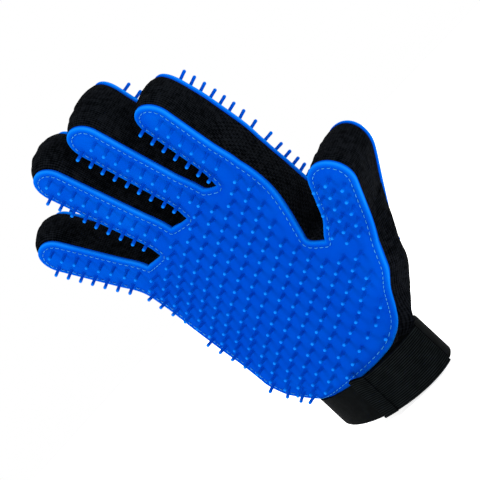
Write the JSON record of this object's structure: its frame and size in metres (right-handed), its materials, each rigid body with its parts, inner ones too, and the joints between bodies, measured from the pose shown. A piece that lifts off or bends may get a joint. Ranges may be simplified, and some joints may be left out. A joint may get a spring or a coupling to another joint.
{
  "type": "grooming glove",
  "caption": "Five-finger pet grooming glove with soft nubs on both faces, black fabric sides and a hook-and-loop wrist strap.",
  "frame": {"origin": "centre of the wrist opening, on the plane the cuff stands on", "axes": "+Z along the middle finger, +X towards the thumb, -Y out of the palm"},
  "size_m": [0.2002, 0.0663, 0.2353],
  "materials": {
    "silicone": "soft satin silicone",
    "side_fabric": "knitted polyester",
    "lining": "brushed lining",
    "elastic": "ribbed elastic webbing",
    "hook_tape": "hook tape"
  },
  "bodies": {
    "hand": {"front_palm_pad": "silicone", "back_palm_pad": "silicone", "front_palm_lining": "lining", "back_palm_lining": "lining", "pinky_side_gusset": "side_fabric", "thumb_side_gusset": "side_fabric", "index_thumb_gusset": "side_fabric", "index_middle_web": "side_fabric", "middle_ring_web": "side_fabric", "ring_pinky_web": "side_fabric", "cuff_band": "elastic", "cuff_hem": "lining", "under_strap": "elastic"},
    "strap": {"wrist_strap": "elastic", "hook_patch": "hook_tape", "strap_end_fold": "elastic"},
    "index_base": {"index_front_base_pad": "silicone", "index_back_base_pad": "silicone", "index_outer_gusset": "side_fabric", "index_inner_gusset": "side_fabric"},
    "index_tip": {"index_front_tip_pad": "silicone", "index_back_tip_pad": "silicone", "index_tip_gusset": "side_fabric"},
    "middle_base": {"middle_front_base_pad": "silicone", "middle_back_base_pad": "silicone", "middle_outer_gusset": "side_fabric", "middle_inner_gusset": "side_fabric"},
    "middle_tip": {"middle_front_tip_pad": "silicone", "middle_back_tip_pad": "silicone", "middle_tip_gusset": "side_fabric"},
    "ring_base": {"ring_front_base_pad": "silicone", "ring_back_base_pad": "silicone", "ring_outer_gusset": "side_fabric", "ring_inner_gusset": "side_fabric"},
    "ring_tip": {"ring_front_tip_pad": "silicone", "ring_back_tip_pad": "silicone", "ring_tip_gusset": "side_fabric"},
    "pinky_base": {"pinky_front_base_pad": "silicone", "pinky_back_base_pad": "silicone", "pinky_outer_gusset": "side_fabric", "pinky_inner_gusset": "side_fabric"},
    "pinky_tip": {"pinky_front_tip_pad": "silicone", "pinky_back_tip_pad": "silicone", "pinky_tip_gusset": "side_fabric"},
    "thumb_base": {"thumb_front_base_pad": "silicone", "thumb_back_base_pad": "silicone", "thumb_outer_gusset": "side_fabric", "thumb_inner_gusset": "side_fabric"},
    "thumb_tip": {"thumb_front_tip_pad": "silicone", "thumb_back_tip_pad": "silicone", "thumb_tip_gusset": "side_fabric"}
  },
  "joints": [
    {"name": "index_root_bend", "type": "hinge", "parent": "hand", "child": "index_base", "pos_m": [0.04541, -0.0114, 0.15582], "axis": [0.9786, -0.1908, -0.077], "range_deg": [-10, 40], "stiffness_Nm_per_rad": 0.15},
    {"name": "index_middle_bend", "type": "hinge", "parent": "index_base", "child": "index_tip", "pos_m": [0.04621, -0.01775, 0.18179], "axis": [0.9786, -0.1908, -0.077], "range_deg": [-10, 40], "stiffness_Nm_per_rad": 0.15},
    {"name": "middle_root_bend", "type": "hinge", "parent": "hand", "child": "middle_base", "pos_m": [0.01519, -0.01338, 0.15821], "axis": [0.9846, -0.1564, 0.0775], "range_deg": [-10, 40], "stiffness_Nm_per_rad": 0.15},
    {"name": "middle_middle_bend", "type": "hinge", "parent": "middle_base", "child": "middle_tip", "pos_m": [0.01109, -0.02199, 0.19292], "axis": [0.9846, -0.1564, 0.0775], "range_deg": [-10, 40], "stiffness_Nm_per_rad": 0.15},
    {"name": "ring_root_bend", "type": "hinge", "parent": "hand", "child": "ring_base", "pos_m": [-0.02031, -0.01388, 0.15641], "axis": [0.9761, -0.1564, 0.1511], "range_deg": [-10, 40], "stiffness_Nm_per_rad": 0.15},
    {"name": "ring_middle_bend", "type": "hinge", "parent": "ring_base", "child": "ring_tip", "pos_m": [-0.02728, -0.02284, 0.19215], "axis": [0.9761, -0.1564, 0.1511], "range_deg": [-10, 40], "stiffness_Nm_per_rad": 0.15},
    {"name": "pinky_root_bend", "type": "hinge", "parent": "hand", "child": "pinky_base", "pos_m": [-0.05911, -0.00939, 0.14906], "axis": [0.8961, -0.1736, 0.4084], "range_deg": [-10, 40], "stiffness_Nm_per_rad": 0.15},
    {"name": "pinky_middle_bend", "type": "hinge", "parent": "pinky_base", "child": "pinky_tip", "pos_m": [-0.07255, -0.01666, 0.17545], "axis": [0.8961, -0.1736, 0.4084], "range_deg": [-10, 40], "stiffness_Nm_per_rad": 0.15},
    {"name": "thumb_root_bend", "type": "hinge", "parent": "hand", "child": "thumb_base", "pos_m": [0.07292, -0.01153, 0.08405], "axis": [0.7956, 0.0872, -0.5995], "range_deg": [-10, 40], "stiffness_Nm_per_rad": 0.15},
    {"name": "thumb_middle_bend", "type": "hinge", "parent": "thumb_base", "child": "thumb_tip", "pos_m": [0.08714, -0.01519, 0.10239], "axis": [0.7956, 0.0872, -0.5995], "range_deg": [-10, 40], "stiffness_Nm_per_rad": 0.15},
    {"name": "strap_peel", "type": "hinge", "parent": "hand", "child": "strap", "pos_m": [0.0422, -0.00176, 0.0141], "axis": [0, 0, 1], "range_deg": [0, 75], "stiffness_Nm_per_rad": 0.02}
  ]
}
